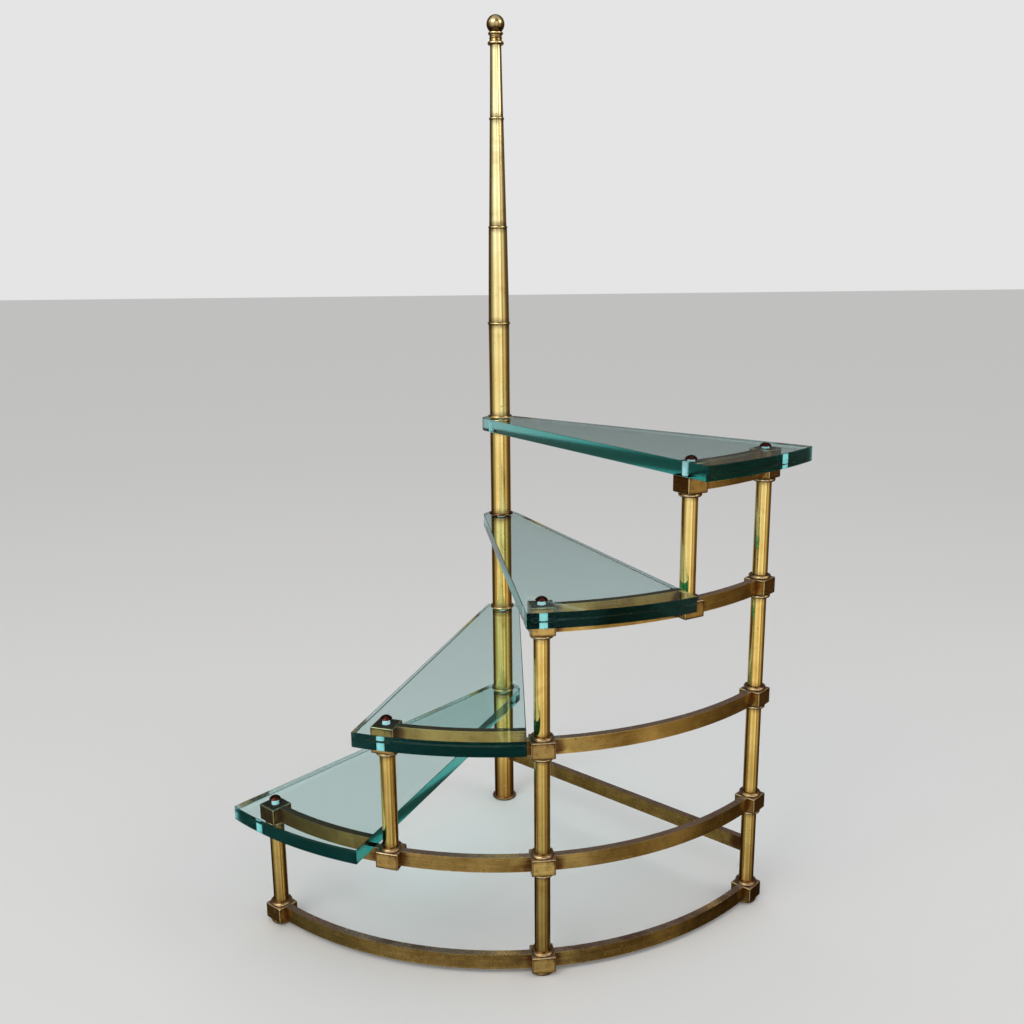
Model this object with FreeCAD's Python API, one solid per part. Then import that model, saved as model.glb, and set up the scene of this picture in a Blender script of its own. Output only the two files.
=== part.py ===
import FreeCAD, Part
import math
import os

from FreeCAD import Vector

# Spiral stair etagere: four thick glass steps climb round a brass pole and rest on
# square blocks threaded on brass posts. Flat curved bars tie the blocks together.
#
# Millimetres, +Z up. The origin is on the floor at the pole's axis. Post C stands
# straight in front of the pole, on -Y, and angles run from there towards +X.
# Level 0 is the ring of bars near the floor. Levels 1 to 4 carry one glass step each.

# ---- Plan ----
POST_CIRCLE_R = 457.2           # pole axis to post axis
STEP_ANGLE = 24.0               # turn from one step to the next
LAST_POST_ANGLE = 42.0          # post E stands under the last step
POST_ANGLES = {
    "a": -2 * STEP_ANGLE,
    "b": -STEP_ANGLE,
    "c": 0.0,
    "d": STEP_ANGLE,
    "e": LAST_POST_ANGLE,
}
POST_LEVELS = {"a": (0, 1), "b": (1, 2), "c": (0, 3), "d": (3, 4), "e": (0, 4)}
LEVELS = sorted({level for span in POST_LEVELS.values() for level in span})

# ---- Heights ----
FIRST_RISE = 135.5              # level 0 to level 1
STEP_RISE = 155.0               # each level above that

# ---- Corner blocks ----
BLOCK_W = 30.0
BLOCK_H = 21.4
BLOCK_EDGE_R = 1.2

# ---- Curved bars and the straight stretcher, from one flat stock ----
BAR_T = 9.525
BAR_H = 20.0
BRAZE_GAP = 0.1                 # round the stretcher's hollowed ends
STRETCHER_Z = 83.0              # mid-height of the stretcher
STRETCHER_POST = "e"

# ---- Post tubes, bead rings and feet ----
TUBE_OD = 20.0
TUBE_WALL = 1.6
BEAD_OVERHANG = 4.5             # how far the bead stands out from the tube
BEAD_H = 4.8
BEAD_DEPTH = 2.4                # depth of the half-round itself
BEAD_LIP = 0.7                  # slope from the bead's crown down to the tube's seat
BEAD_SEAT_DROP = 0.8            # the tube sits this far below the crown
BEAD_SPIGOT = 5.0               # length that enters the tube
SPIGOT_GAP = 0.1                # all round a spigot in its tube or recess

# ---- Rods and nuts inside ----
ROD_D = 7.94
ROD_GAP = 0.15                  # all round a rod or a screw in its hole
NUT_ACROSS_FLATS = 12.7
NUT_H = 4.8
NUT_RECESS_GAP = 0.4            # round the nut's corners
FOOT_SPIGOT = 2.5               # foot's boss in the nut recess
ROD_TOP_DEPTH = 11.5            # rod's end below a post's top face

# ---- Glass steps ----
GLASS_T = 19.05
GLASS_OVERHANG = 48.2           # post axis to the curved front edge
GLASS_NOSE_R = 27.75            # rounded narrow end, about the pole axis
GLASS_ARRIS = 0.7
GLASS_ROD_HOLE_D = 12.0
GLASS_SCREW_HOLE_D = 9.5
LEAD_ANGLE = 2.75               # a step's left corner lies this far left of its post
TOP_LEAD_ANGLE = 1.9            # the same on the top step, which sits turned a little

# ---- Domed screws through the glass ----
SCREW_D = 6.35
SCREW_HEAD_D = 15.0
SCREW_HEAD_H = 4.7
SCREW_RIM_H = 0.8
SCREW_GRIP = 10.0               # thread in the block

# ---- Pole ----
POLE_OD = 32.0
POLE_WALL = 2.0
POLE_FOOT_OD = 39.5
POLE_FOOT_H = 4.0
POLE_FOOT_BOSS = 16.0
POLE_ROD_BITE = 12.0            # rod's thread in the foot and in the finial
PLUG_H = 8.0
COLLAR_OD = 37.8
COLLAR_H = 4.2
COLLAR_SPIGOT = 6.0
UPPER_POLE_L = 138.2           # pole above the top step's collar

# ---- Tapered sections of the pole, from the lowest, each on a half-round ring ----
RING_1_OD = 34.9
RING_1_H = 5.0
TAPER_1_LOW_D = 31.8
TAPER_1_HIGH_D = 27.8
TAPER_1_L = 137.0
RING_2_OD = 29.0
RING_2_H = 4.6
TAPER_2_LOW_D = 26.1
TAPER_2_HIGH_D = 20.4
TAPER_2_L = 149.6
RING_3_OD = 22.5
RING_3_H = 4.2
TAPER_3_LOW_D = 19.6
TAPER_3_HIGH_D = 16.3
TAPER_3_L = 98.5

# ---- Finial ----
FINIAL_LOWER_RING_OD = 23.8
FINIAL_LOWER_RING_H = 5.1
FINIAL_NECK_D = 17.4
FINIAL_NECK_H = 8.7
FINIAL_BEAD_OD = 18.8
FINIAL_BEAD_H = 2.6
FINIAL_UPPER_RING_OD = 22.0
FINIAL_UPPER_RING_H = 3.9
FINIAL_BALL_D = 26.2
FINIAL_BALL_NECK_D = 15.0       # where the ball meets the ring under it

# ---- Worked out from the sizes above ----
POST_HOLE_R = ROD_D / 2 + ROD_GAP
SCREW_HOLE_R = SCREW_D / 2 + ROD_GAP
TUBE_BORE_R = TUBE_OD / 2 - TUBE_WALL
POLE_BORE_R = POLE_OD / 2 - POLE_WALL
BEAD_R = TUBE_OD / 2 + BEAD_OVERHANG
BEAD_SEAT_H = BEAD_H - BEAD_SEAT_DROP
NUT_CORNER_R = NUT_ACROSS_FLATS / 2 / math.cos(math.radians(30))
NUT_RECESS_R = NUT_CORNER_R + NUT_RECESS_GAP
NUT_RECESS_DEPTH = FOOT_SPIGOT + SPIGOT_GAP + NUT_H
LEVEL_0 = BEAD_H + BLOCK_H
GLASS_R = POST_CIRCLE_R + GLASS_OVERHANG
STEP_LEVELS = LEVELS[1:]
TOP_LEVEL = LEVELS[-1]
TAPERED_SECTIONS = [
    (RING_1_OD, RING_1_H, TAPER_1_LOW_D, TAPER_1_HIGH_D, TAPER_1_L),
    (RING_2_OD, RING_2_H, TAPER_2_LOW_D, TAPER_2_HIGH_D, TAPER_2_L),
    (RING_3_OD, RING_3_H, TAPER_3_LOW_D, TAPER_3_HIGH_D, TAPER_3_L),
]

AXIS = Vector(0, 0, 1)
ORIGIN = Vector(0, 0, 0)


def level_z(level):
    """Height of a level: the top faces of its blocks and bars, and the glass on them."""
    if level == LEVELS[0]:
        return LEVEL_0
    return LEVEL_0 + FIRST_RISE + STEP_LEVELS.index(level) * STEP_RISE


def polar(radius, angle, z=0.0):
    turn = math.radians(angle)
    return Vector(radius * math.sin(turn), -radius * math.cos(turn), z)


def rod(radius, z_low, z_high):
    return Part.makeCylinder(radius, z_high - z_low, Vector(0, 0, z_low))


def tube(outer_r, inner_r, z_low, z_high):
    return rod(outer_r, z_low, z_high).cut(rod(inner_r, z_low, z_high))


def turned(outline):
    """Turn a closed half-section round Z.

    The outline is a list of (radius, height). A point marked (radius, height, "via")
    is the middle of an arc between its neighbours.
    """
    points = [Vector(point[0], 0, point[1]) for point in outline]
    edges = []
    here = 0
    while here < len(points):
        after = (here + 1) % len(points)
        if len(outline[after]) == 3:
            end = (here + 2) % len(points)
            edges.append(Part.Arc(points[here], points[after], points[end]).toShape())
            here += 2
        else:
            edges.append(Part.LineSegment(points[here], points[after]).toShape())
            here += 1
    solid = Part.Face(Part.Wire(edges)).revolve(ORIGIN, AXIS, 360)
    if solid.Volume < 0:
        solid.reverse()
    return solid


def raised(shape, z):
    moved = shape.copy()
    moved.translate(Vector(0, 0, z))
    return moved


def turned_over(shape):
    """The same piece upside down, so that it hangs below z = 0."""
    flipped = shape.copy()
    flipped.rotate(ORIGIN, Vector(1, 0, 0), 180)
    return flipped


def at_post(shape, post, z=0.0):
    """Move a piece built on the Z axis out to a post, turned to face the pole."""
    placed = raised(shape, z)
    placed.translate(polar(POST_CIRCLE_R, 0))
    placed.rotate(ORIGIN, AXIS, POST_ANGLES[post])
    return placed


def write(node, *solids):
    shape = solids[0] if len(solids) == 1 else Part.makeCompound(list(solids))
    shape.exportStep(f"parts/{node}.step")
    volume = sum(solid.Volume for solid in shape.Solids) / 1000
    print(f"{node}: {len(shape.Solids)} solid(s), {volume:.1f} cm3, valid {shape.isValid()}")


def posts_on(level):
    """Posts with a block on this level, from left to right."""
    return [post for post in POST_LEVELS if level in levels_of(post)]


def levels_of(post):
    """Levels where a post has a block, from the lowest."""
    low, high = POST_LEVELS[post]
    return LEVELS[LEVELS.index(low):LEVELS.index(high) + 1]


def posts_ending_at(level):
    return [post for post in POST_LEVELS if levels_of(post)[-1] == level]


# ---------------------------------------------------------------- post pieces

def block_blank():
    """Plain block with rounded edges. Its top face is on z = 0."""
    corner = Vector(-BLOCK_W / 2, -BLOCK_W / 2, -BLOCK_H)
    box = Part.makeBox(BLOCK_W, BLOCK_W, BLOCK_H, corner)
    return box.makeFillet(BLOCK_EDGE_R, box.Edges)


def make_block(post, level):
    low, high = POST_LEVELS[post]
    block = block_blank()
    if level == high:
        # The rod ends inside, and the glass screw comes down to meet it
        block = block.cut(rod(POST_HOLE_R, -BLOCK_H, -ROD_TOP_DEPTH + ROD_GAP))
        block = block.cut(rod(SCREW_HOLE_R, -ROD_TOP_DEPTH, 0))
    else:
        block = block.cut(rod(POST_HOLE_R, -BLOCK_H, 0))
    if level == low:
        block = block.cut(rod(NUT_RECESS_R, -BLOCK_H, -BLOCK_H + NUT_RECESS_DEPTH))
    return at_post(block, post, level_z(level))


def make_bead_ring():
    """Half-round ring between a block and a tube, standing on the block's face."""
    crown_r = BEAD_R - BEAD_DEPTH
    spigot_r = TUBE_BORE_R - SPIGOT_GAP
    return turned([
        (POST_HOLE_R, 0),
        (crown_r, 0),
        (BEAD_R, BEAD_H / 2, "via"),
        (crown_r, BEAD_H),
        (crown_r - BEAD_LIP, BEAD_SEAT_H),
        (spigot_r, BEAD_SEAT_H),
        (spigot_r, BEAD_SEAT_H + BEAD_SPIGOT),
        (POST_HOLE_R, BEAD_SEAT_H + BEAD_SPIGOT),
    ])


def make_foot():
    """Closed half-round foot with a boss that plugs the nut recess above it."""
    crown_r = BEAD_R - BEAD_DEPTH
    boss_r = NUT_RECESS_R - SPIGOT_GAP
    return turned([
        (0, 0),
        (crown_r, 0),
        (BEAD_R, BEAD_H / 2, "via"),
        (crown_r, BEAD_H),
        (boss_r, BEAD_H),
        (boss_r, BEAD_H + FOOT_SPIGOT),
        (0, BEAD_H + FOOT_SPIGOT),
    ])


def make_nut():
    corners = [polar(NUT_CORNER_R, 60 * side) for side in range(6)]
    hexagon = Part.Face(Part.makePolygon(corners + corners[:1]))
    return hexagon.extrude(Vector(0, 0, NUT_H)).cut(rod(POST_HOLE_R, 0, NUT_H))


def make_screw():
    """Domed screw. The underside of its head is on z = 0, on the glass."""
    head_r = SCREW_HEAD_D / 2
    shank_r = SCREW_D / 2
    dome_h = SCREW_HEAD_H - SCREW_RIM_H
    sphere_r = (head_r ** 2 + dome_h ** 2) / (2 * dome_h)
    half_r = head_r / 2
    half_z = SCREW_HEAD_H - sphere_r + math.sqrt(sphere_r ** 2 - half_r ** 2)
    shank_end = -(GLASS_T + SCREW_GRIP)
    return turned([
        (0, shank_end),
        (shank_r, shank_end),
        (shank_r, 0),
        (head_r, 0),
        (head_r, SCREW_RIM_H),
        (half_r, half_z, "via"),
        (0, SCREW_HEAD_H),
    ])


def build_posts():
    ring = make_bead_ring()
    hanging_ring = turned_over(ring)
    rings = []
    nuts = []
    rods = []
    feet = []
    for post in POST_LEVELS:
        levels = levels_of(post)
        for level in levels:
            write(f"block_{post}{level}", make_block(post, level))
        for level, above in zip(levels, levels[1:]):
            tube_foot = level_z(level)
            tube_head = level_z(above) - BLOCK_H
            rings.append(at_post(ring, post, tube_foot))
            rings.append(at_post(hanging_ring, post, tube_head))
            pipe = tube(TUBE_OD / 2, TUBE_BORE_R, tube_foot + BEAD_SEAT_H, tube_head - BEAD_SEAT_H)
            write(f"post_{post}_tube_{level}_to_{above}", at_post(pipe, post))
        underside = level_z(levels[0]) - BLOCK_H
        nut_z = underside + NUT_RECESS_DEPTH - NUT_H
        nuts.append(at_post(make_nut(), post, nut_z))
        rods.append(at_post(rod(ROD_D / 2, nut_z, level_z(levels[-1]) - ROD_TOP_DEPTH), post))
        if levels[0] == LEVELS[0]:
            feet.append(at_post(make_foot(), post))
    write("post_bead_rings", *rings)
    write("post_nuts", *nuts)
    write("post_tie_rods", *rods)
    write("post_feet", *feet)


# ---------------------------------------------------------------- bars

def make_arc_bar(level, left, right):
    """Flat bar bent round the post circle, cut square against the blocks it joins."""
    span = POST_ANGLES[right] - POST_ANGLES[left]
    inner_r = POST_CIRCLE_R - BAR_T / 2
    outer_r = POST_CIRCLE_R + BAR_T / 2
    low = level_z(level) - BAR_H
    sector = Part.makeCylinder(outer_r, BAR_H, Vector(0, 0, low), AXIS, span)
    sector = sector.cut(rod(inner_r, low, low + BAR_H))
    sector.rotate(ORIGIN, AXIS, POST_ANGLES[left] - 90)
    corner = Vector(-BLOCK_W / 2, -BLOCK_W / 2, -BLOCK_H)
    room = Part.makeBox(BLOCK_W, BLOCK_W, BLOCK_H, corner)
    for post in (left, right):
        sector = sector.cut(at_post(room, post, level_z(level)))
    return sector.Solids[0]


def build_bars():
    for level in LEVELS:
        posts = posts_on(level)
        for left, right in zip(posts, posts[1:]):
            write(f"arc_bar_{left}{level}_to_{right}{level}", make_arc_bar(level, left, right))


def make_stretcher():
    """Straight bar from the pole to a post tube, hollowed at both ends to fit them."""
    low = STRETCHER_Z - BAR_H / 2
    bar = Part.makeBox(BAR_T, POST_CIRCLE_R, BAR_H, Vector(-BAR_T / 2, -POST_CIRCLE_R, low))
    bar = bar.cut(rod(POLE_OD / 2 + BRAZE_GAP, low, low + BAR_H))
    post_room = rod(TUBE_OD / 2 + BRAZE_GAP, low, low + BAR_H)
    post_room.translate(polar(POST_CIRCLE_R, 0))
    bar = bar.cut(post_room)
    bar.rotate(ORIGIN, AXIS, POST_ANGLES[STRETCHER_POST])
    return bar.Solids[0]


# ---------------------------------------------------------------- glass steps

def glass_blank(left_corner):
    """Pie-shaped plate: curved front, straight sides that run into a round nose."""
    right_corner = left_corner + STEP_ANGLE
    middle = left_corner + STEP_ANGLE / 2
    lean = math.degrees(math.acos(GLASS_NOSE_R / GLASS_R))
    front_left = polar(GLASS_R, left_corner)
    front_right = polar(GLASS_R, right_corner)
    nose_left = polar(GLASS_NOSE_R, left_corner - lean)
    nose_right = polar(GLASS_NOSE_R, right_corner + lean)
    outline = Part.Wire([
        Part.Arc(front_left, polar(GLASS_R, middle), front_right).toShape(),
        Part.LineSegment(front_right, nose_right).toShape(),
        Part.Arc(nose_right, polar(GLASS_NOSE_R, middle + 180), nose_left).toShape(),
        Part.LineSegment(nose_left, front_left).toShape(),
    ])
    plate = Part.Face(outline).extrude(Vector(0, 0, GLASS_T))
    rims = [edge for edge in plate.Edges if edge.BoundBox.ZLength < GLASS_T / 2]
    return plate.makeChamfer(GLASS_ARRIS, rims)


def build_steps():
    screws = []
    for level in STEP_LEVELS:
        carriers = posts_ending_at(level)
        lead = TOP_LEAD_ANGLE if level == TOP_LEVEL else LEAD_ANGLE
        glass = glass_blank(POST_ANGLES[carriers[0]] - lead)
        glass = glass.cut(rod(GLASS_ROD_HOLE_D / 2, 0, GLASS_T))
        for post in carriers:
            glass = glass.cut(at_post(rod(GLASS_SCREW_HOLE_D / 2, 0, GLASS_T), post))
            screws.append(at_post(make_screw(), post, level_z(level) + GLASS_T))
        write(f"glass_step_{level}", raised(glass, level_z(level)))
    write("glass_screws", *screws)


# ---------------------------------------------------------------- pole

def make_collar(spigot_r):
    """Half-round collar standing on the glass, with a spigot up into the tube above."""
    outer_r = COLLAR_OD / 2
    crown_r = outer_r - COLLAR_H / 2
    return turned([
        (POST_HOLE_R, 0),
        (crown_r, 0),
        (outer_r, COLLAR_H / 2, "via"),
        (crown_r, COLLAR_H),
        (spigot_r, COLLAR_H),
        (spigot_r, COLLAR_H + COLLAR_SPIGOT),
        (POST_HOLE_R, COLLAR_H + COLLAR_SPIGOT),
    ])


def make_pole_foot():
    """Closed round foot. The pole's tie rod screws into its boss."""
    outer_r = POLE_FOOT_OD / 2
    crown_r = outer_r - POLE_FOOT_H / 2
    boss_r = POLE_BORE_R - SPIGOT_GAP
    boss_top = POLE_FOOT_H + POLE_FOOT_BOSS
    foot = turned([
        (0, 0),
        (crown_r, 0),
        (outer_r, POLE_FOOT_H / 2, "via"),
        (crown_r, POLE_FOOT_H),
        (boss_r, POLE_FOOT_H),
        (boss_r, boss_top),
        (0, boss_top),
    ])
    return foot.cut(rod(POST_HOLE_R, boss_top - POLE_ROD_BITE, boss_top))


def make_joint_ring(outer_d, height):
    outer_r = outer_d / 2
    crown_r = outer_r - height / 2
    return turned([
        (POST_HOLE_R, 0),
        (crown_r, 0),
        (outer_r, height / 2, "via"),
        (crown_r, height),
        (POST_HOLE_R, height),
    ])


def make_cone(lower_d, upper_d, length):
    return turned([
        (POST_HOLE_R, 0),
        (lower_d / 2, 0),
        (upper_d / 2, length),
        (POST_HOLE_R, length),
    ])


def make_finial():
    """Turned ball on a ringed neck, drilled from below for the tie rod."""
    ring_r = FINIAL_LOWER_RING_OD / 2
    ring_h = FINIAL_LOWER_RING_H
    cap_r = FINIAL_UPPER_RING_OD / 2
    cap_h = FINIAL_UPPER_RING_H
    ball_r = FINIAL_BALL_D / 2
    neck_r = FINIAL_NECK_D / 2
    bead_low = ring_h + (FINIAL_NECK_H - FINIAL_BEAD_H) / 2
    bead_high = bead_low + FINIAL_BEAD_H
    cap_low = ring_h + FINIAL_NECK_H
    cap_high = cap_low + cap_h
    ball_z = cap_high + math.sqrt(ball_r ** 2 - (FINIAL_BALL_NECK_D / 2) ** 2)
    finial = turned([
        (0, 0),
        (ring_r - ring_h / 2, 0),
        (ring_r, ring_h / 2, "via"),
        (ring_r - ring_h / 2, ring_h),
        (neck_r, bead_low),
        (FINIAL_BEAD_OD / 2, (bead_low + bead_high) / 2, "via"),
        (neck_r, bead_high),
        (cap_r - cap_h / 2, cap_low),
        (cap_r, cap_low + cap_h / 2, "via"),
        (cap_r - cap_h / 2, cap_high),
        (FINIAL_BALL_NECK_D / 2, cap_high),
        (ball_r, ball_z, "via"),
        (0, ball_z + ball_r),
    ])
    return finial.cut(rod(POST_HOLE_R, 0, cap_low))


def build_pole():
    write("pole_foot", make_pole_foot())
    collars = []
    plugs = []
    rings = []
    spigot_r = POLE_BORE_R - SPIGOT_GAP
    low = POLE_FOOT_H
    for level in STEP_LEVELS:
        high = level_z(level)
        write(f"pole_tube_{level}", tube(POLE_OD / 2, POLE_BORE_R, low, high))
        plugs.append(tube(spigot_r, POST_HOLE_R, high - PLUG_H, high))
        collars.append(raised(make_collar(spigot_r), high + GLASS_T))
        low = high + GLASS_T + COLLAR_H
    high = low + UPPER_POLE_L
    write("pole_tube_5", tube(POLE_OD / 2, POLE_BORE_R, low, high))
    plugs.append(tube(spigot_r, POST_HOLE_R, high - PLUG_H, high))
    for number, section in enumerate(TAPERED_SECTIONS, start=1):
        ring_d, ring_h, low_d, high_d, length = section
        rings.append(raised(make_joint_ring(ring_d, ring_h), high))
        high += ring_h
        write(f"pole_taper_{number}", raised(make_cone(low_d, high_d, length), high))
        high += length
    write("finial", raised(make_finial(), high))
    write("pole_collars", *collars)
    write("pole_plugs", *plugs)
    write("pole_joint_rings", *rings)
    rod_low = POLE_FOOT_H + POLE_FOOT_BOSS - POLE_ROD_BITE
    write("pole_tie_rod", rod(ROD_D / 2, rod_low, high + POLE_ROD_BITE))


os.makedirs("parts", exist_ok=True)
build_posts()
build_bars()
write("stretcher_bar", make_stretcher())
build_steps()
build_pole()
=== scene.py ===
import math
from typing import NamedTuple

import bmesh
import bpy
from mathutils import Matrix, Vector


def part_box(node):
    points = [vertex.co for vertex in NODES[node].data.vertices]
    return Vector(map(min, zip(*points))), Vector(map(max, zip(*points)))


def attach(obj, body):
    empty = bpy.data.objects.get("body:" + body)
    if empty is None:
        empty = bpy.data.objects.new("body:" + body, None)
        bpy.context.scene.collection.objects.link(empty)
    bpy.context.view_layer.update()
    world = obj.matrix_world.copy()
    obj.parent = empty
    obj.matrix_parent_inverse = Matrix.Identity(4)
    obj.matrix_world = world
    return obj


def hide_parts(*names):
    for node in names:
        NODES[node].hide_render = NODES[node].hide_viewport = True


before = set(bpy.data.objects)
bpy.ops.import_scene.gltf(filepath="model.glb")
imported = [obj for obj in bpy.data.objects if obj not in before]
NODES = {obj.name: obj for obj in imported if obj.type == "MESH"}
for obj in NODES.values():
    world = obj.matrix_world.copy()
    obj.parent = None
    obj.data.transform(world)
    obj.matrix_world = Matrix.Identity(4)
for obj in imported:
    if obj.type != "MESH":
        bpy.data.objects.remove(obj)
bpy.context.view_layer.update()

# Spiral stair etagere in brass and glass. Metres, +Z up, origin on the floor under the
# pole. Posts stand on a circle round the pole: angles run from -Y towards +X.

# ---- Sizes shared with the solids ----
POST_CIRCLE_R = 0.4572
POST_ANGLES = {"a": -48.0, "b": -24.0, "c": 0.0, "d": 24.0, "e": 42.0}
BLOCK_W = 0.030
BAR_T = 0.009525
COLLAR_H = 0.0042
FINIAL_BALL_H = 0.02384

# ---- Glass steps ----
GLASS_R = 0.5054
GLASS_NOSE_R = 0.02775
STEP_ANGLE = 24.0
STEP_CARRIERS = {1: "a", 2: "b", 3: "c", 4: "de"}       # posts under each step
LEAD_ANGLES = {1: 2.75, 2: 2.75, 3: 2.75, 4: 1.9}       # from a step's left edge to its post
ROD_HOLE_D = 0.0120
SCREW_HOLE_D = 0.0095
ARRIS = 0.0007
HOLE_ARRIS = 0.0004
CORNER_R = 0.0012
ARC_PIECES = 56
NOSE_PIECES = 40
HOLE_PIECES = 40
ROUND_PIECES = 3

# ---- Camera, at the photograph's place ----
CAMERA_PLACE = Vector((-0.1613, -1.5965, 0.8553))
CAMERA_AZIMUTH = 6.388
CAMERA_DIP = 12.694
CAMERA_ROLL = -0.532
FOCAL_PIXELS = 1030.2
IMAGE_PIXELS = 1024
SENSOR_MM = 36.0


def polar(radius, angle, z=0.0):
    turn = math.radians(angle)
    return Vector((radius * math.sin(turn), -radius * math.cos(turn), z))


# ---------------------------------------------------------------- shader helpers

class Value:
    """An output of a shader graph, with the usual arithmetic where it is a number."""

    def __init__(self, graph, socket):
        self.graph = graph
        self.socket = socket

    def __add__(self, other):
        return self.graph.compute("ADD", self, other)

    def __sub__(self, other):
        return self.graph.compute("SUBTRACT", self, other)

    def __rsub__(self, other):
        return self.graph.compute("SUBTRACT", other, self)

    def __mul__(self, other):
        return self.graph.compute("MULTIPLY", self, other)

    def __abs__(self):
        return self.graph.compute("ABSOLUTE", self)


def least(first, *others):
    for other in others:
        first = first.graph.compute("MINIMUM", first, other)
    return first


def most(first, *others):
    for other in others:
        first = first.graph.compute("MAXIMUM", first, other)
    return first


class Mottle(NamedTuple):
    """Spots of noise, which fade in between a low and a high level of it."""

    scale: float
    low: float
    high: float
    detail: float = 3.0
    rough: float = 0.6
    warp: float = 0.0


class Graph:
    """Short calls that add shader nodes. Each takes numbers, colours or Values."""

    def __init__(self, tree):
        self.tree = tree
        tree.nodes.clear()

    def node(self, kind, inputs, output=0, **settings):
        made = self.tree.nodes.new(kind)
        for name, value in settings.items():
            setattr(made, name, value)
        for name, value in inputs.items():
            self.feed(made.inputs[name], value)
        return Value(self, made.outputs[output]) if made.outputs else None

    def feed(self, socket, value):
        if isinstance(value, Value):
            self.tree.links.new(value.socket, socket)
        else:
            socket.default_value = value

    def compute(self, operation, a, b=0.0):
        return self.node("ShaderNodeMath", {0: a, 1: b}, operation=operation)

    def clamp(self, value):
        return self.node("ShaderNodeClamp", {0: value})

    def vector(self, operation, a, b=(0, 0, 0)):
        output = 1 if operation in ("DISTANCE", "LENGTH", "DOT_PRODUCT") else 0
        return self.node("ShaderNodeVectorMath", {0: a, 1: b}, output, operation=operation)

    def place(self):
        return self.node("ShaderNodeTexCoord", {}, "Object")

    def axes(self, vector):
        return [self.node("ShaderNodeSeparateXYZ", {0: vector}, name) for name in "XYZ"]

    def height(self):
        """Height above the floor."""
        return self.axes(self.place())[2]

    def from_axis(self):
        """Distance from the pole's axis."""
        return self.vector("LENGTH", self.vector("MULTIPLY", self.place(), (1, 1, 0)))

    def upward(self):
        """How far the surface turns up: 1 on a top face, 0 on a wall, -1 on an underside."""
        return self.axes(self.node("ShaderNodeNewGeometry", {}, "Normal"))[2]

    def steepness(self):
        """How far the surface turns up or down: 0 on a wall, 1 on a flat."""
        return abs(self.upward())

    def turned_back(self, vector, degrees):
        """Turn a place back about Z, so that a piece built at that angle lies on -Y."""
        inputs = {"Vector": vector, "Angle": math.radians(-degrees)}
        return self.node("ShaderNodeVectorRotate", inputs, rotation_type="Z_AXIS")

    def noise(self, vector, scale, detail=3.0, rough=0.5, warp=0.0):
        inputs = {
            "Vector": vector, "Scale": scale, "Detail": detail,
            "Roughness": rough, "Distortion": warp,
        }
        return self.node("ShaderNodeTexNoise", inputs, "Fac")

    def fade(self, value, low, high, start=0.0, end=1.0):
        """Smooth step: start at low, end at high."""
        inputs = {"Value": value, 1: low, 2: high, 3: start, 4: end}
        return self.node("ShaderNodeMapRange", inputs, interpolation_type="SMOOTHSTEP")

    def wander(self, vector, scale, reach):
        """A distance between 0 and reach that makes a layer's edge ragged."""
        return self.noise(vector, scale) * reach

    def mottled(self, vector, mottle, share):
        """From 0 between a mottle's spots up to share at their middles."""
        noise = self.noise(vector, mottle.scale, mottle.detail, mottle.rough, mottle.warp)
        return self.fade(noise, mottle.low, mottle.high, 0.0, share)

    def blend(self, share, first, second):
        made = self.tree.nodes.new("ShaderNodeMix")
        made.data_type = "RGBA"
        for slot, value in ((0, share), (6, first), (7, second)):
            self.feed(made.inputs[slot], value)
        return Value(self, made.outputs[2])

    def ramp(self, value, stops):
        """Colours along a value from 0 to 1: stops are (place, colour)."""
        made = self.tree.nodes.new("ShaderNodeValToRGB")
        self.feed(made.inputs[0], value)
        made.color_ramp.interpolation = "EASE"
        elements = made.color_ramp.elements
        while len(elements) < len(stops):
            elements.new(1.0)
        for element, (position, colour) in zip(elements, stops):
            element.position = position
            element.color = colour
        return Value(self, made.outputs[0])

    def bump(self, height, strength):
        inputs = {"Height": height, "Strength": strength, "Distance": BUMP_DEPTH}
        return self.node("ShaderNodeBump", inputs)

    def principled(self, **inputs):
        named = {name.replace("_", " "): value for name, value in inputs.items()}
        return self.node("ShaderNodeBsdfPrincipled", named)

    def mixed_shader(self, share, first, second):
        return self.node("ShaderNodeMixShader", {0: share, 1: first, 2: second})

    def light_path(self, output):
        return self.node("ShaderNodeLightPath", {}, output)

    def finish(self, **outputs):
        self.node("ShaderNodeOutputMaterial", outputs)


def new_material(name):
    material = bpy.data.materials.new(name)
    material.use_nodes = True
    return material, Graph(material.node_tree)


def dress(obj, material):
    obj.data.materials.clear()
    obj.data.materials.append(material)


# ---------------------------------------------------------------- brass

WORN_AND_HIGHLIGHT_BRASS = (0.90, 0.70, 0.34, 1)
RING_HIGHLIGHT = (0.84, 0.67, 0.49, 1)
TUBE_GOLD = (0.93, 0.68, 0.22, 1)
TUBE_OLIVE = (0.76, 0.52, 0.14, 1)
PALE_GOLD = (0.99, 0.88, 0.44, 1)
PALE_OLIVE = (0.90, 0.74, 0.32, 1)
BAR_GOLD = (0.46, 0.30, 0.085, 1)
BAR_LIGHT = (0.70, 0.47, 0.15, 1)
BLOCK_GOLD = (0.36, 0.20, 0.055, 1)
BLOCK_LIGHT = (0.60, 0.40, 0.130, 1)
AMBER = (0.42, 0.21, 0.045, 1)
BROWN = (0.125, 0.055, 0.020, 1)
TOP_REFLECTION_GREY = (0.62, 0.48, 0.43, 1)
COLLAR_DARK_BAND = (0.10, 0.020, 0.014, 1)
BALL_BRONZE = (0.52, 0.39, 0.19, 1)
NEARLY_BLACK = (0.030, 0.016, 0.010, 1)
DARK_COPPER = (0.040, 0.010, 0.008, 1)
LIGHT_COPPER = (0.090, 0.024, 0.015, 1)
DARK_ZINC = (0.40, 0.40, 0.38, 1)
LIGHT_ZINC = (0.62, 0.62, 0.60, 1)

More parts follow.
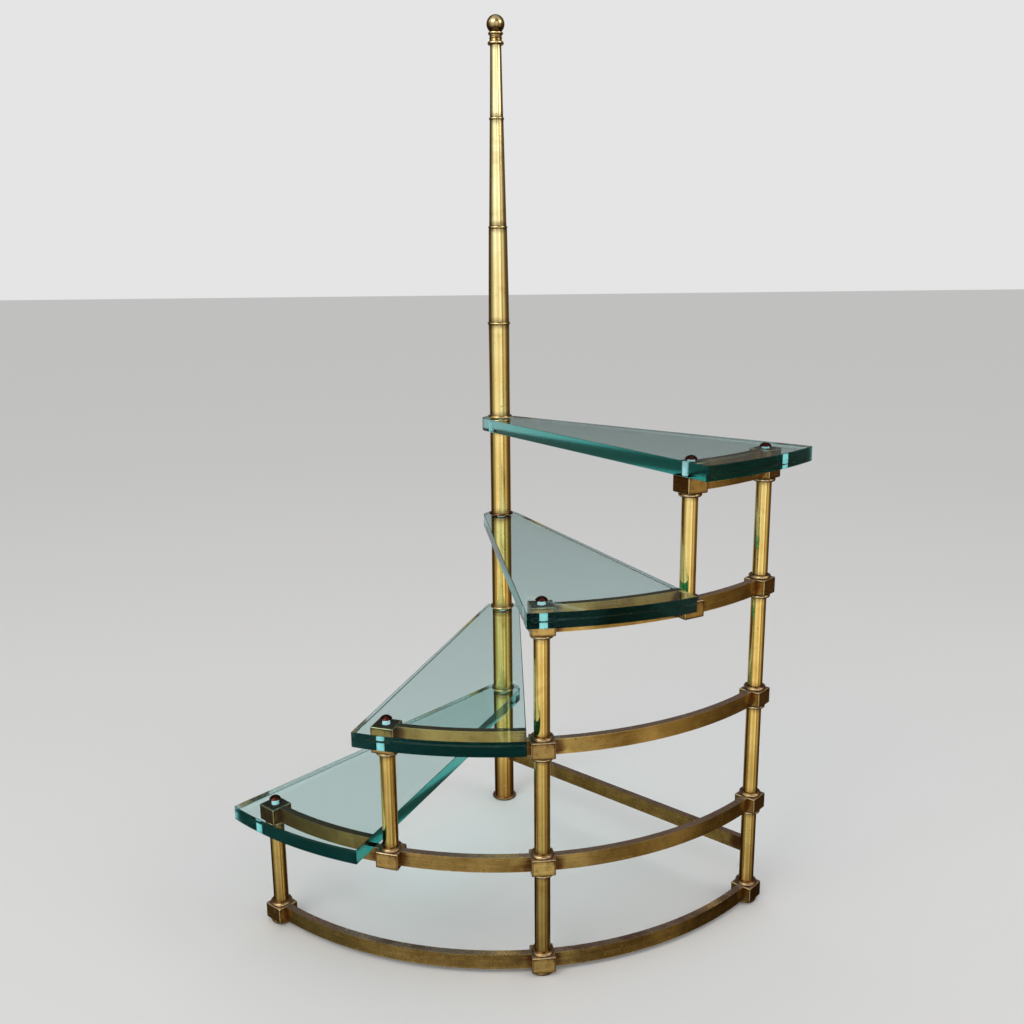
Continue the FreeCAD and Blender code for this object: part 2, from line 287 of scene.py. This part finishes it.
# How much lighter or darker some blocks were left than the rest, by post and level
BLOCK_TONES = {"a0": 1.5, "a1": 0.75, "b1": 1.3, "c0": 1.55, "c1": 1.7, "c2": 0.85, "e0": 0.7}
BRIGHTEST = 0.95

# Noise scales along X, Y and Z: low along the way a piece was drawn, brushed or turned
TUBE_STREAKS = (800.0, 800.0, 6.0)
BAR_STREAKS = (14.0, 14.0, 800.0)
BLOCK_STREAKS = (50.0, 50.0, 1300.0)
TURNED_STREAKS = (90.0, 90.0, 1500.0)

STAINS = Mottle(38.0, 0.54, 0.72, warp=0.4)
SMUDGES = Mottle(90.0, 0.50, 0.75)
RUBBED_SPOTS = Mottle(160.0, 0.60, 0.72, rough=0.7)
BAR_SPECKS = Mottle(430.0, 0.46, 0.70)
BAR_BLOTCHES = Mottle(30.0, 0.46, 0.70)
BLOCK_BLOTCHES = Mottle(70.0, 0.45, 0.72, rough=0.5)
TUBE_PITS = Mottle(330.0, 0.70, 0.76, detail=2.0, rough=0.5)
BAR_PITS = Mottle(260.0, 0.71, 0.77, detail=2.0, rough=0.5)

TARNISH_AND_SHADE_ROUGHNESS = 0.16
SMUDGE_ROUGHNESS = 0.07
TOP_REFLECTION_METAL_LOSS = 0.10
BUMP_DEPTH = 0.0002

# Distances over which a layer fades in or out
WORN_AND_HIGHLIGHT_EDGE = (0.0004, 0.0010)
TUBE_JOINT_HEAT = (-0.005, 0.004)
BAR_END_HEAT = (0.010, 0.024)
BLOCK_EDGE_TARNISH = (0.0012, 0.0034)
BLOCK_RAGGED = 0.0016
COLLAR_BAND_REACH = (0.008, 0.010)
STRETCHER_HEAT_R = 0.004        # from the pole's axis to the middle of the heat mark there

# Heights above the floor over which a layer fades in or out
TUBE_PAINTED_SHEEN_Z = (0.30, 1.00)
TUBE_FLOOR_SHADE_Z = (0.02, 0.11)
BAR_DAMP_Z = (0.05, 0.20)

# How strongly painted shade darkens the foot of the pole and of the posts, near the floor
POLE_FLOOR_SHADE = 0.75
POST_FLOOR_SHADE = 0.25

# On the finial: radii where its rings' crowns begin, and heights from the foot of its ball
FINIAL_CROWN_R = (0.0093, 0.0108)
BELOW_BALL = (-0.001, 0.0)
ON_BALL = (0.0, 0.0015)
BALL_SHADE = (0.002, 0.013)


class Brass:
    """One aged brass finish, built up in layers on a shader graph.

    The grain is the streaks' share of its pattern, and amber how strong its stains are.
    """

    def __init__(self, graph, place, streak_sizes, dark, light, grain=0.55, amber=0.6):
        self.graph = graph
        self.place = place
        self.streaks = graph.noise(graph.vector("MULTIPLY", place, streak_sizes), 1.0, 5.0, 0.62)
        self.patches = graph.noise(place, 24.0, 4.0, 0.6)
        mixed = self.streaks * grain + self.patches * (1 - grain)
        self.colour = graph.blend(graph.fade(mixed, 0.40, 0.62), dark, light)
        self.tarnish_and_shade = 0.0
        self.metal = 1.0
        self.mottle(STAINS, amber, AMBER)

    def layer(self, share, colour):
        self.colour = self.graph.blend(share, self.colour, colour)

    def mottle(self, pattern, share, colour):
        self.layer(self.graph.mottled(self.place, pattern, share), colour)

    def brown(self, share):
        """Brown tarnish, and painted shade on the rings' flats, broken up by the streaks, that
        also dulls the gloss.
        """
        broken = share * self.graph.fade(self.streaks, 0.25, 0.75, 1.4, 0.6)
        self.tarnish_and_shade = self.graph.clamp(broken)
        self.layer(self.tarnish_and_shade, BROWN)

    def paint_top_reflection(self, share):
        """Painted reflection: a grey sheet on the top faces, standing in for the dull
        surroundings they mirror, that takes some of the metal's gloss.
        """
        top_reflection = self.graph.fade(self.graph.upward(), 0.6, 0.9, 0.0, share)
        self.layer(top_reflection, TOP_REFLECTION_GREY)
        self.metal = 1.0 - top_reflection * TOP_REFLECTION_METAL_LOSS

    def surface(self, smooth, dull, bump):
        """The finished metal, with its roughness from smooth to dull along the streaks."""
        graph = self.graph
        rough = (
            graph.fade(self.streaks, 0.3, 0.75, smooth, dull)
            + self.tarnish_and_shade * TARNISH_AND_SHADE_ROUGHNESS
            + graph.mottled(self.place, SMUDGES, SMUDGE_ROUGHNESS)
        )
        normal = graph.bump(self.streaks, bump)
        return graph.principled(
            Base_Color=self.colour, Metallic=self.metal, Roughness=rough, Normal=normal,
        )


def tube_brass(name, low, high, floor_darkening):
    """Drawn tube: fine lengthwise streaks, brown towards the joints at both ends."""
    material, graph = new_material(name)
    place, z = graph.place(), graph.height()
    # Painted sheen: paler towards the top, standing in for the brighter sky that the upper tubes
    # mirror
    pale = graph.fade(z, *TUBE_PAINTED_SHEEN_Z)
    dark = graph.blend(pale, TUBE_OLIVE, PALE_OLIVE)
    light = graph.blend(pale, TUBE_GOLD, PALE_GOLD)
    brass = Brass(graph, place, TUBE_STREAKS, dark, light, amber=0.25)
    wander = graph.wander(place, scale=70.0, reach=0.010)
    from_joint = least(z - low, high - z) - wander
    brass.brown(graph.fade(from_joint, *TUBE_JOINT_HEAT, 0.6, 0.0))
    # Painted shade: duller and amber-brown towards the floor, where the foot lies in shade
    brass.layer(graph.fade(z + wander, *TUBE_FLOOR_SHADE_Z, floor_darkening, 0.0), AMBER)
    brass.mottle(RUBBED_SPOTS, 0.45, WORN_AND_HIGHLIGHT_BRASS)
    brass.mottle(TUBE_PITS, 0.85, NEARLY_BLACK)
    graph.finish(Surface=brass.surface(smooth=0.08, dull=0.16, bump=0.06))
    return material


def bar_brass(name, ends, low, high, radius=None):
    """Drawn flat bar: lines along its length, brown where it was heated at its ends.

    A radius is that of the middle of a bar bent round the pole's axis.
    """
    material, graph = new_material(name)
    place, z = graph.place(), graph.height()
    brass = Brass(graph, place, BAR_STREAKS, BAR_GOLD, BAR_LIGHT, grain=0.30)
    wander = graph.wander(place, scale=55.0, reach=0.016)
    from_end = least(*[graph.vector("DISTANCE", place, end) for end in ends]) - wander
    brass.brown(graph.fade(from_end, *BAR_END_HEAT, 1.0, 0.0))
    if radius is not None:
        # Worn bright line along the bent bar's edges
        to_face = BAR_T / 2 - abs(graph.from_axis() - radius)
        to_rim = (high - low) / 2 - abs(z - (low + high) / 2)
        brass.layer(graph.fade(most(to_face, to_rim), *WORN_AND_HIGHLIGHT_EDGE, 0.55, 0.0), WORN_AND_HIGHLIGHT_BRASS)
    brass.paint_top_reflection(0.8)
    # Spotted brown where the floor's damp reached it
    floor_darkening = graph.fade(z, *BAR_DAMP_Z, 1.0, 0.25)
    for pattern, share in ((BAR_SPECKS, 0.5), (BAR_BLOTCHES, 0.45)):
        brass.layer(floor_darkening * graph.mottled(place, pattern, share), BROWN)
    brass.mottle(BAR_PITS, 0.85, NEARLY_BLACK)
    graph.finish(Surface=brass.surface(smooth=0.18, dull=0.28, bump=0.06))
    return material


def toned(colour, tone):
    return tuple(min(part * tone, BRIGHTEST) for part in colour[:3]) + (1,)


def block_brass(name, angle, tone, low, high):
    """Sawn and brushed block, dark just inside its edges and bright along them."""
    material, graph = new_material(name)
    half_h = (high - low) / 2
    centre = (0, -POST_CIRCLE_R, (low + high) / 2)
    place = graph.vector("SUBTRACT", graph.turned_back(graph.place(), angle), centre)
    dark, light = toned(BLOCK_GOLD, tone), toned(BLOCK_LIGHT, tone)
    brass = Brass(graph, place, BLOCK_STREAKS, dark, light, grain=0.30)
    x, y, z = (abs(axis) for axis in graph.axes(place))
    to_faces = [BLOCK_W / 2 - x, BLOCK_W / 2 - y, half_h - z]
    # On a face one distance is 0, and the next larger one leads to the nearest edge
    edge = to_faces[0] + to_faces[1] + to_faces[2] - least(*to_faces) - most(*to_faces)
    ragged = edge + (graph.noise(place, 500.0) - 0.5) * BLOCK_RAGGED
    blotches = graph.mottled(place, BLOCK_BLOTCHES, 0.65)
    brass.brown(graph.fade(ragged, *BLOCK_EDGE_TARNISH, 0.75, 0.0) + blotches)
    brass.paint_top_reflection(0.7)
    # Bright along the edges: wear, with painted highlight on their rounds
    brass.layer(graph.fade(ragged, *WORN_AND_HIGHLIGHT_EDGE, 0.75, 0.0), WORN_AND_HIGHLIGHT_BRASS)
    graph.finish(Surface=brass.surface(smooth=0.18, dull=0.28, bump=0.10))
    return material


def ring_brass(name, crown_highlight, crown, dull, dark_band_z=None):
    """Turned ring: painted highlight round its crown, and painted shade in brown on its top and
    underside.
    """
    material, graph = new_material(name)
    brass = Brass(graph, graph.place(), TURNED_STREAKS, BLOCK_GOLD, TUBE_GOLD)
    steep = graph.steepness()
    # Painted highlight round the crown, where the ring faces sideways
    brass.layer(graph.fade(steep, 0.15, 0.45, crown, 0.0), crown_highlight)
    # Painted shade: brown on the top and underside
    brass.brown(graph.fade(steep, 0.40, 0.85, dull, 0.85))
    brass.paint_top_reflection(0.35)
    if dark_band_z is not None:
        off = abs(graph.height() - dark_band_z)
        brass.layer(graph.fade(off, *COLLAR_BAND_REACH, 0.85, 0.0), COLLAR_DARK_BAND)
    graph.finish(Surface=brass.surface(smooth=0.12, dull=0.24, bump=0.10))
    return material


def turned_brass(name, ball_low):
    """Lathe-turned finial: brown rings with painted highlights on their crowns, and a
    bronze-brown ball.
    """
    material, graph = new_material(name)
    brass = Brass(graph, graph.place(), TURNED_STREAKS, TUBE_OLIVE, PALE_OLIVE)
    # Painted highlight: bright crowns where the outer rings face sideways, below the ball
    outside = graph.fade(graph.from_axis(), *FINIAL_CROWN_R)
    crown = outside * graph.fade(graph.steepness(), 0.20, 0.70, 1.0, 0.0)
    brass.brown((1.0 - crown) * 0.72)
    rise = graph.height() - ball_low
    brass.layer(crown * 0.8 * graph.fade(rise, *BELOW_BALL, 1.0, 0.0), WORN_AND_HIGHLIGHT_BRASS)
    ball = graph.fade(rise, *ON_BALL)
    brass.layer(ball * graph.fade(brass.patches, 0.3, 0.7, 0.95, 0.8), BALL_BRONZE)
    brass.layer(ball * graph.fade(rise, *BALL_SHADE, 0.8, 0.0), BROWN)
    graph.finish(Surface=brass.surface(smooth=0.10, dull=0.20, bump=0.06))
    return material


def copper_screw(name):
    material, graph = new_material(name)
    patches = graph.noise(graph.place(), 260.0, 4.0, 0.6)
    colour = graph.blend(graph.fade(patches, 0.35, 0.7), DARK_COPPER, LIGHT_COPPER)
    rough = graph.fade(patches, 0.3, 0.7, 0.14, 0.30)
    graph.finish(Surface=graph.principled(Base_Color=colour, Metallic=1.0, Roughness=rough))
    return material


def zinc_steel(name):
    material, graph = new_material(name)
    colour = graph.blend(graph.noise(graph.place(), 200.0, 4.0, 0.6), DARK_ZINC, LIGHT_ZINC)
    graph.finish(Surface=graph.principled(Base_Color=colour, Metallic=1.0, Roughness=0.35))
    return material


# ---------------------------------------------------------------- glass

GLASS_TINT = (0.18, 0.79, 0.755, 1)
GLASS_DENSITY = 17.0
GLASS_IOR = 1.52
REFLECTION_TINT = (0.12, 0.42, 0.38, 1)
CLEAR = (1, 1, 1, 1)
HONED_TINT = (0.90, 0.98, 0.98, 1)
CLOUD_AND_GLOW_TEAL = (0.0, 0.42, 0.37, 1)
CLOUD_AND_GLOW_Z = (0.17, 0.48)          # the clouding and painted light fade out between these heights
GROUND_DARK = (0.80, 0.97, 1.0, 1)
GROUND_LIGHT = (0.96, 1.0, 1.0, 1)
# The open sky, brighter than this studio, reaches the ground walls through the plate
GROUND_GLOW = (0.55, 0.95, 1.0, 1)
# The order of a plate's material slots
POLISHED, GROUND, HONED = 0, 1, 2


def with_green_inside(graph, surface):
    """Let shadows through the surface and fill the plate with green."""
    clear = graph.node("ShaderNodeBsdfTransparent", {})
    inside = {"Color": GLASS_TINT, "Density": GLASS_DENSITY}
    graph.finish(
        Surface=graph.mixed_shader(graph.light_path("Is Shadow Ray"), surface, clear),
        Volume=graph.node("ShaderNodeVolumeAbsorption", inside),
    )


def clear_glass(name, colour, roughness, clouding_and_glow=0.0):
    """Thick clear plate. Its green deepens with the light's path inside."""
    material, graph = new_material(name)
    surface = graph.principled(
        Base_Color=colour, Roughness=roughness, IOR=GLASS_IOR, Transmission_Weight=1.0,
        Specular_Tint=REFLECTION_TINT,
    )
    if clouding_and_glow:
        # The upright edges are a little clouded, most on the lowest steps; the teal film also
        # paints the light that the plate carries to them
        upright = graph.fade(graph.steepness(), 0.2, 0.8, 1.0, 0.0)
        lowest = graph.fade(graph.height(), *CLOUD_AND_GLOW_Z, clouding_and_glow, 0.0)
        cloud_and_glow = graph.node("ShaderNodeBsdfDiffuse", {"Color": CLOUD_AND_GLOW_TEAL})
        surface = graph.mixed_shader(upright * lowest, surface, cloud_and_glow)
    with_green_inside(graph, surface)
    return material


def ground_glass(name):
    """Drilled wall of a hole, left white and matt by the drill."""
    material, graph = new_material(name)
    grain = graph.noise(graph.place(), 900.0, 3.0, 0.6)
    surface = graph.principled(
        Base_Color=graph.blend(grain, GROUND_DARK, GROUND_LIGHT), Roughness=0.55,
        IOR=GLASS_IOR, Transmission_Weight=0.15, Normal=graph.bump(grain, 0.3),
        Emission_Color=GROUND_GLOW, Emission_Strength=0.28,
    )
    with_green_inside(graph, surface)
    return material


def round_corner(angle, arriving, leaving, finish):
    """Small round at a front corner of a step, as (point, outward normal, finish)."""
    inward = (arriving + leaving) * (CORNER_R / (1 + arriving.dot(leaving)))
    centre = polar(GLASS_R, angle) - inward
    normals = [arriving.slerp(leaving, step / ROUND_PIECES) for step in range(ROUND_PIECES + 1)]
    return [(centre + normal * CORNER_R, normal, finish) for normal in normals]


def step_outline(level):
    """Outline of a step, run round anticlockwise from its left front corner."""
    left_angle = POST_ANGLES[STEP_CARRIERS[level][0]] - LEAD_ANGLES[level]
    right_angle = left_angle + STEP_ANGLE
    # Each straight side runs from a front corner and only touches the round nose
    lean = math.degrees(math.acos(GLASS_NOSE_R / GLASS_R))
    nose_start, nose_end = right_angle + lean, left_angle - lean + 360
    outline = round_corner(left_angle, polar(1, nose_end), polar(1, left_angle), POLISHED)
    for step in range(1, ARC_PIECES):
        normal = polar(1, left_angle + STEP_ANGLE * step / ARC_PIECES)
        outline.append((normal * GLASS_R, normal, POLISHED))
    outline += round_corner(right_angle, polar(1, right_angle), polar(1, nose_start), HONED)
    for step in range(NOSE_PIECES + 1):
        normal = polar(1, nose_start + (nose_end - nose_start) * step / NOSE_PIECES)
        outline.append((normal * GLASS_NOSE_R, normal, HONED))
    return outline


def hole_outline(centre, diameter):
    """Drilled hole, run round clockwise, with normals that point into it."""
    outline = []
    for step in range(HOLE_PIECES):
        outward = polar(1, -360 * step / HOLE_PIECES)
        outline.append((centre + outward * diameter / 2, -outward, GROUND))
    return outline


def wall_profile(low, high, arris):
    """Points up a wall with rounded arrises: inset, z, and its normal's way out and up."""
    lower = []
    for step in range(ROUND_PIECES + 1):
        turn = math.radians(90 * step / ROUND_PIECES)
        out, up = math.sin(turn), -math.cos(turn)
        lower.append((arris * (1 - out), low + arris * (1 + up), out, up))
    upper = [(inset, low + high - z, out, -up) for inset, z, out, up in reversed(lower)]
    return lower + upper


def add_wall(bm, normals, outline, low, high, arris):
    """Wall of a plate from its low to its high face. Returns its two rims."""
    rings = []
    for inset, z, out, up in wall_profile(low, high, arris):
        ring = []
        for point, outward, _ in outline:
            place = point - outward * inset
            ring.append(bm.verts.new((place.x, place.y, z)))
            normals.append(outward * out + Vector((0, 0, up)))
        rings.append(ring)
    for level, (below, above) in enumerate(zip(rings, rings[1:])):
        on_arris = level != ROUND_PIECES
        for here, (_, _, finish) in enumerate(outline):
            after = (here + 1) % len(outline)
            face = bm.faces.new((below[here], below[after], above[after], above[here]))
            face.material_index = HONED if on_arris and finish == POLISHED else finish
    return rings[0], rings[-1]


def fill_flat(bm, rings, facing):
    """Flat face between a plate's rim and its holes: facing is 1 on top, -1 below."""
    edges = [bm.edges.get(pair) for ring in rings for pair in zip(ring, ring[1:] + ring[:1])]
    made = bmesh.ops.triangle_fill(
        bm, use_beauty=True, use_dissolve=False, edges=edges, normal=(0, 0, facing),
    )
    for face in made["geom"]:
        if isinstance(face, bmesh.types.BMFace):
            face.normal_update()
            if face.normal.z * facing < 0:
                face.normal_flip()


def build_glass_step(level, materials):
    low, high = (corner.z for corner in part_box(f"glass_step_{level}"))
    walls = [(step_outline(level), ARRIS)]
    walls.append((hole_outline(Vector((0, 0, 0)), ROD_HOLE_D), HOLE_ARRIS))
    for post in STEP_CARRIERS[level]:
        screw_place = polar(POST_CIRCLE_R, POST_ANGLES[post])
        walls.append((hole_outline(screw_place, SCREW_HOLE_D), HOLE_ARRIS))
    bm = bmesh.new()
    normals = []
    rims = [add_wall(bm, normals, outline, low, high, arris) for outline, arris in walls]
    lower, upper = zip(*rims)
    fill_flat(bm, lower, -1)
    fill_flat(bm, upper, 1)
    for face in bm.faces:
        face.smooth = True
    name = f"glass_plate_{level}"
    mesh = bpy.data.meshes.new(name)
    bm.to_mesh(mesh)
    bm.free()
    mesh.normals_split_custom_set_from_vertices([normal.normalized() for normal in normals])
    plate = bpy.data.objects.new(name, mesh)
    bpy.context.scene.collection.objects.link(plate)
    for material in materials:
        mesh.materials.append(material)
    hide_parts(f"glass_step_{level}")
    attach(plate, "root")


def build_glass_steps():
    finishes = (
        clear_glass("polished_glass", CLEAR, 0.0, clouding_and_glow=0.06),
        ground_glass("ground_glass"),
        clear_glass("honed_glass", HONED_TINT, 0.18),
    )
    for level in STEP_CARRIERS:
        build_glass_step(level, finishes)


# ---------------------------------------------------------------- finishes on the solids

def brass_for_solid(name, low, high):
    """Finish of a tube, bar or block that has a node of its own, or None."""
    middle = (low + high) / 2
    if "_tube_" in name or name.startswith("pole_taper"):
        floor_darkening = POLE_FLOOR_SHADE if name.startswith("pole") else POST_FLOOR_SHADE
        return tube_brass(f"{name}_brass", low, high, floor_darkening)
    if name.startswith("arc_bar_"):
        sites = name.removeprefix("arc_bar_").split("_to_")
        ends = [polar(POST_CIRCLE_R, POST_ANGLES[site[0]], middle) for site in sites]
        return bar_brass(f"{name}_brass", ends, low, high, POST_CIRCLE_R)
    if name == "stretcher_bar":
        radii = (STRETCHER_HEAT_R, POST_CIRCLE_R)
        ends = [polar(radius, POST_ANGLES["e"], middle) for radius in radii]
        return bar_brass(f"{name}_brass", ends, low, high)
    if name.startswith("block_"):
        site = name.removeprefix("block_")
        tone = BLOCK_TONES.get(site, 1.0)
        return block_brass(f"{name}_brass", POST_ANGLES[site[0]], tone, low, high)
    return None


def dress_solids():
    for name, node in NODES.items():
        low, high = (corner.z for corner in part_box(name))
        finish = brass_for_solid(name, low, high)
        if finish is not None:
            dress(node, finish)
    # Each ring: its painted highlight's colour, that highlight's share on the crown, and the
    # share of painted shade on its flats
    for name, crown_highlight, crown, dull in (
        ("post_bead_rings", RING_HIGHLIGHT, 0.85, 0.25),
        ("post_feet", RING_HIGHLIGHT, 0.0, 0.85),
        ("pole_foot", RING_HIGHLIGHT, 0.2, 0.75),
        ("pole_joint_rings", WORN_AND_HIGHLIGHT_BRASS, 0.85, 0.15),
        ("pole_plugs", WORN_AND_HIGHLIGHT_BRASS, 0.2, 0.6),
    ):
        dress(NODES[name], ring_brass(f"{name}_brass", crown_highlight, crown, dull))
    # The collar on the third step is darker in a band round it
    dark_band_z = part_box("glass_step_3")[1].z + COLLAR_H / 2
    collars = ring_brass("pole_collars_brass", WORN_AND_HIGHLIGHT_BRASS, 0.85, 0.15, dark_band_z)
    dress(NODES["pole_collars"], collars)
    ball_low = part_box("finial")[1].z - FINIAL_BALL_H
    dress(NODES["finial"], turned_brass("finial_brass", ball_low))
    dress(NODES["glass_screws"], copper_screw("copper_screw_finish"))
    steel = zinc_steel("zinc_steel_finish")
    for name in ("pole_tie_rod", "post_tie_rods", "post_nuts"):
        dress(NODES[name], steel)


# ---------------------------------------------------------------- studio

FLOOR_COLOUR = (0.68, 0.675, 0.67, 1)
FLOOR_HALF = 60.0
BACKDROP_COLOUR = (0.78, 0.78, 0.78, 1)

# What metal and glass mirror near the horizon and below it, and in the sky: level and tint
# at a turn in degrees from the direction of the camera, positive to the right
MIRRORED_LOW = [
    (-180, 0.42, (1.0, 1.0, 1.0)),
    (-152, 0.38, (1.0, 0.98, 0.96)),
    (-136, 0.05, (1.0, 0.40, 0.30)),
    (-98, 0.08, (1.0, 0.60, 0.30)),
    (-90, 0.20, (1.0, 0.85, 0.60)),
    (-80, 0.36, (0.96, 1.0, 0.85)),
    (-64, 0.46, (0.96, 1.0, 0.88)),
    (-52, 0.92, (1.0, 0.98, 0.96)),
    (-30, 1.04, (1.0, 0.98, 0.98)),
    (-10, 0.84, (1.0, 0.94, 0.84)),
    (4, 0.84, (1.0, 0.94, 0.84)),
    (16, 1.08, (1.0, 1.0, 0.98)),
    (28, 1.08, (1.0, 1.0, 0.96)),
    (36, 0.40, (1.0, 0.78, 0.50)),
    (46, 0.42, (1.0, 0.80, 0.54)),
    (54, 0.66, (1.0, 0.88, 0.70)),
    (68, 0.54, (1.0, 0.84, 0.58)),
    (82, 0.18, (1.0, 0.74, 0.44)),
    (102, 0.10, (1.0, 0.66, 0.36)),
    (134, 0.05, (1.0, 0.40, 0.30)),
    (152, 0.38, (1.0, 0.98, 0.96)),
    (180, 0.42, (1.0, 1.0, 1.0)),
]
MIRRORED_SKY = [
    (-180, 0.09, (1.0, 0.75, 0.60)),
    (-106, 0.12, (1.0, 0.75, 0.55)),
    (-84, 1.10, (0.94, 1.0, 1.06)),
    (-12, 1.40, (0.94, 1.0, 1.06)),
    (6, 0.34, (1.0, 0.92, 0.78)),
    (40, 0.34, (1.0, 0.92, 0.78)),
    (52, 1.10, (0.98, 1.0, 1.0)),
    (76, 0.90, (0.98, 1.0, 1.0)),
    (104, 0.12, (1.0, 0.75, 0.55)),
    (180, 0.09, (1.0, 0.75, 0.60)),
]
SHADE = (0, 0, 0, 1)
SHADE_SHARE = 0.78
HAZE_GAIN = (1.25, 1.35, 1.6)
DARK_WALL = (0.12, 0.10, 0.09, 1)
DARK_WALL_TURNS = (math.radians(136), math.radians(152))
ZENITH = (0.75, 0.77, 0.80, 1)

# Z of a direction, from -1 straight down to 1 straight up, over which these fade
SHADE_HEIGHTS = (-0.62, -0.30)
HAZE_HEIGHTS = (-0.04, 0.14)
DARK_WALL_HEIGHTS = (-0.10, 0.0)
SKY_HEIGHTS = (0.24, 0.40)
ZENITH_HEIGHTS = (0.80, 1.0)

# Lamps: place, the point that each faces, size and power in watts
LAMPS = {
    "key_lamp": ((-1.6, -1.8, 2.6), (0, -0.3, 0.4), (1.6, 1.2), 27),
    "fill_lamp": ((1.8, -1.2, 2.0), (0, -0.3, 0.5), (1.2, 1.2), 9),
}


def build_floor():
    half = FLOOR_HALF
    mesh = bpy.data.meshes.new("studio_floor")
    mesh.from_pydata([(-half, -half, 0), (half, -half, 0), (half, half, 0), (-half, half, 0)],
                     [], [(0, 1, 2, 3)])
    floor = bpy.data.objects.new("studio_floor", mesh)
    bpy.context.scene.collection.objects.link(floor)
    material, graph = new_material("pale_floor")
    matt = graph.principled(Base_Color=FLOOR_COLOUR, Roughness=0.6, Specular_IOR_Level=0.0)
    graph.finish(Surface=matt)
    dress(floor, material)
    floor.visible_glossy = False


def surroundings(graph, turn, table):
    share = turn * (0.5 / math.pi) + 0.5
    stops = [
        ((degrees + 180) / 360, tuple(level * part for part in tint) + (1,))
        for degrees, level, tint in table
    ]
    return graph.ramp(share, stops)


def mirrored_colour(graph):
    """What metal and glass mirror in each direction round the object."""
    direction = graph.node("ShaderNodeTexCoord", {}, "Generated")
    facing = math.radians(CAMERA_AZIMUTH)
    forward = (math.sin(facing), math.cos(facing), 0)
    right = (math.cos(facing), -math.sin(facing), 0)
    ahead = graph.vector("DOT_PRODUCT", direction, forward) * -1.0
    across = graph.vector("DOT_PRODUCT", direction, right)
    turn = graph.compute("ARCTAN2", across, ahead)
    height = graph.axes(direction)[2]
    low = surroundings(graph, turn, MIRRORED_LOW)
    # The floor near the object lies in its shade, and the light pales above the horizon
    low = graph.blend(graph.fade(height, *SHADE_HEIGHTS, SHADE_SHARE, 0.0), low, SHADE)
    hazy = graph.vector("MULTIPLY", low, HAZE_GAIN)
    low = graph.blend(graph.fade(height, *HAZE_HEIGHTS), low, hazy)
    # A dark wall stands behind the object
    wall = graph.fade(abs(turn), *DARK_WALL_TURNS)
    low = graph.blend(wall * graph.fade(height, *DARK_WALL_HEIGHTS), low, DARK_WALL)
    sky = surroundings(graph, turn, MIRRORED_SKY)
    sky = graph.blend(graph.fade(height, *ZENITH_HEIGHTS), sky, ZENITH)
    return graph.blend(graph.fade(height, *SKY_HEIGHTS), low, sky)


def build_world():
    world = bpy.data.worlds.new("studio")
    bpy.context.scene.world = world
    world.use_nodes = True
    graph = Graph(world.node_tree)
    mirrored = {"Color": mirrored_colour(graph), "Strength": 1.0}
    plain = {"Color": BACKDROP_COLOUR, "Strength": 1.0}
    surface = graph.mixed_shader(
        graph.light_path("Is Glossy Ray"),
        graph.node("ShaderNodeBackground", plain),
        graph.node("ShaderNodeBackground", mirrored),
    )
    graph.node("ShaderNodeOutputWorld", {"Surface": surface})


def build_lights():
    for name, (place, target, size, power) in LAMPS.items():
        lamp = bpy.data.lights.new(name, "AREA")
        lamp.shape = "RECTANGLE"
        lamp.size, lamp.size_y = size
        lamp.energy = power
        obj = bpy.data.objects.new(name, lamp)
        obj.location = place
        aim = Vector(target) - Vector(place)
        obj.rotation_euler = aim.to_track_quat("-Z", "Y").to_euler()
        bpy.context.scene.collection.objects.link(obj)


def build_camera():
    azimuth, dip, roll = (
        math.radians(angle) for angle in (CAMERA_AZIMUTH, CAMERA_DIP, CAMERA_ROLL)
    )
    ahead = Vector((
        math.sin(azimuth) * math.cos(dip),
        math.cos(azimuth) * math.cos(dip),
        -math.sin(dip),
    ))
    level_right = Vector((math.cos(azimuth), -math.sin(azimuth), 0))
    level_up = level_right.cross(ahead)
    right = math.cos(roll) * level_right + math.sin(roll) * level_up
    up = math.cos(roll) * level_up - math.sin(roll) * level_right
    camera = bpy.data.objects.new("camera", bpy.data.cameras.new("camera"))
    camera.data.sensor_width = SENSOR_MM
    camera.data.lens = FOCAL_PIXELS / IMAGE_PIXELS * SENSOR_MM
    turn = Matrix((right, up, -ahead)).transposed().to_4x4()
    camera.matrix_world = Matrix.Translation(CAMERA_PLACE) @ turn
    bpy.context.scene.collection.objects.link(camera)
    bpy.context.scene.camera = camera


dress_solids()
build_glass_steps()
build_floor()
build_world()
build_lights()
build_camera()
bpy.context.scene.view_settings.view_transform = "Standard"
